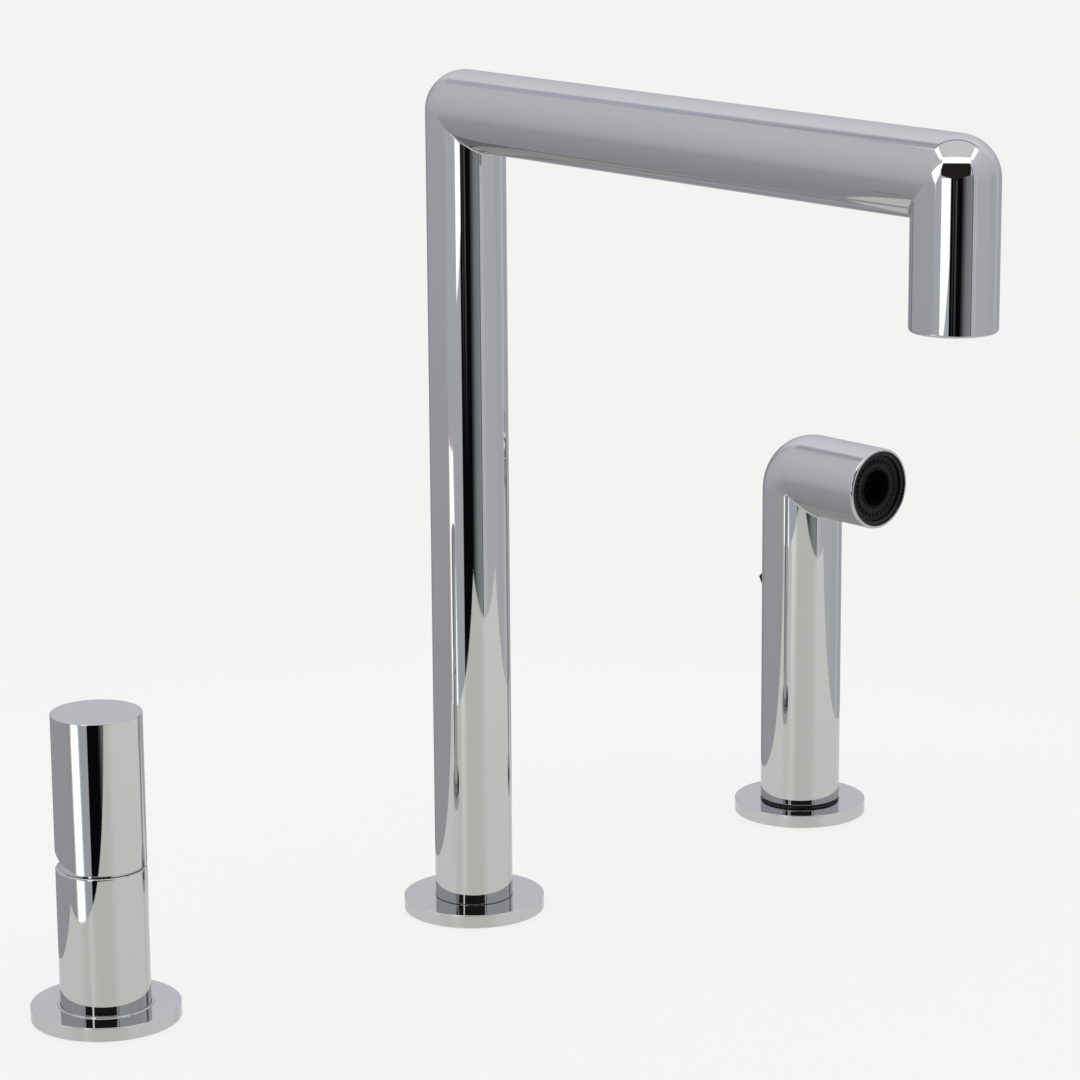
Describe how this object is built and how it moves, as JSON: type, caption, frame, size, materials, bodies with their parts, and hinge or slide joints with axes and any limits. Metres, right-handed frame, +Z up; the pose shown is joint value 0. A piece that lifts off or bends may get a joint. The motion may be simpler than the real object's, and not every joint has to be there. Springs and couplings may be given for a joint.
{
  "type": "pull-out kitchen faucet",
  "caption": "Deck-mounted faucet with a square-arched turning spout, a separate cylindrical lever control and a pull-out hand spray, each on a round base flange.",
  "frame": {"origin": "centre of the spout's worktop hole, on the worktop's top face, where the spout flange stands", "axes": "+Z up along the spout column; the spout and the spray point to -Y, towards the user; the control is on the -X side and the hand spray on the +X side"},
  "size_m": [0.4405, 0.305, 0.41],
  "materials": {
    "chrome_shell": "polished",
    "brass": "satin",
    "steel": "satin",
    "black_rubber": "matte",
    "black_plastic": "satin",
    "grey_silicone": "satin",
    "grey_plastic": "satin",
    "white_plastic": "satin",
    "ceramic": "gloss"
  },
  "bodies": {
    "root": {"spout_flange": "chrome_shell", "spout_gasket": "black_rubber", "spout_post": "brass", "spout_glide_ring": "white_plastic", "spout_lower_bush": "white_plastic", "spout_upper_bush": "white_plastic", "spout_o_rings": "black_rubber", "spout_snap_ring": "steel", "spout_rubber_washer": "black_rubber", "spout_steel_washer": "steel", "spout_nut": "brass", "control_flange": "chrome_shell", "control_gasket": "black_rubber", "control_sleeve": "chrome_shell", "valve_body": "brass", "port_seals": "black_rubber", "cartridge_base": "white_plastic", "fixed_disc": "ceramic", "cartridge_housing": "grey_plastic", "cartridge_nut": "brass", "dome_nut": "chrome_shell", "control_rubber_washer": "black_rubber", "control_steel_washer": "steel", "control_nut": "brass", "sprayer_flange": "chrome_shell", "sprayer_gasket": "black_rubber", "dock_shank": "brass", "dock_sleeve": "black_plastic", "sprayer_rubber_washer": "black_rubber", "sprayer_steel_washer": "steel", "sprayer_nut": "brass"},
    "spout": {"spout_tube": "chrome_shell", "spout_grub_screw": "steel", "aerator_sleeve": "chrome_shell", "aerator_insert": "white_plastic", "aerator_seal": "black_rubber"},
    "temperature_carrier": {"lever_guide": "white_plastic", "lever_pin": "steel"},
    "disc_carriage": {"moving_disc": "ceramic", "disc_driver": "grey_plastic"},
    "control_lever": {"lever_stem": "steel", "handle_shell": "chrome_shell", "handle_hub": "grey_plastic", "handle_grub_screw": "steel"},
    "hose_coupling": {"hose_swivel": "brass", "swivel_o_rings": "black_rubber", "swivel_clip": "steel"},
    "hand_spray": {"sprayer_end_cap": "black_plastic", "sprayer_shell": "chrome_shell", "sprayer_waterway": "black_plastic", "button_spring": "steel", "nozzle_o_ring": "black_rubber", "nozzle_cup": "black_plastic", "nozzle_ring": "grey_silicone", "stream_insert": "black_plastic"},
    "spray_push": {"spray_button": "black_plastic", "valve_plunger": "brass", "plunger_o_rings": "black_rubber"}
  },
  "joints": [
    {"name": "spout_swivel", "type": "hinge", "parent": "root", "child": "spout", "pos_m": [0, 0, 0.1], "axis": [0, 0, 1], "continuous": true},
    {"name": "temperature_turn", "type": "hinge", "parent": "root", "child": "temperature_carrier", "pos_m": [-0.1885, 0, 0.0558], "axis": [0, 0, 1], "range_deg": [-50, 50]},
    {"name": "flow_tilt", "type": "hinge", "parent": "temperature_carrier", "child": "control_lever", "pos_m": [-0.1885, 0, 0.0558], "axis": [-1, 0, 0], "range_deg": [0, 20]},
    {"name": "disc_slide", "type": "slide", "parent": "temperature_carrier", "child": "disc_carriage", "axis": [0, -1, 0], "range_m": [0, 0.00245]},
    {"name": "spray_lift", "type": "slide", "parent": "root", "child": "hose_coupling", "axis": [0, 0, 1], "range_m": [0, 0.3]},
    {"name": "spray_turn", "type": "hinge", "parent": "hose_coupling", "child": "hand_spray", "pos_m": [0.194, 0, 0.02], "axis": [0, 0, 1], "continuous": true},
    {"name": "button_press", "type": "slide", "parent": "hand_spray", "child": "spray_push", "axis": [0, -1, 0], "range_m": [0, 0.0025], "stiffness_N_per_m": 800, "springref_m": -0.002, "deforming": ["button_spring"]}
  ],
  "couplings": [
    {"joint": "disc_slide", "follows": "flow_tilt", "m_per_rad": 0.0069}
  ]
}
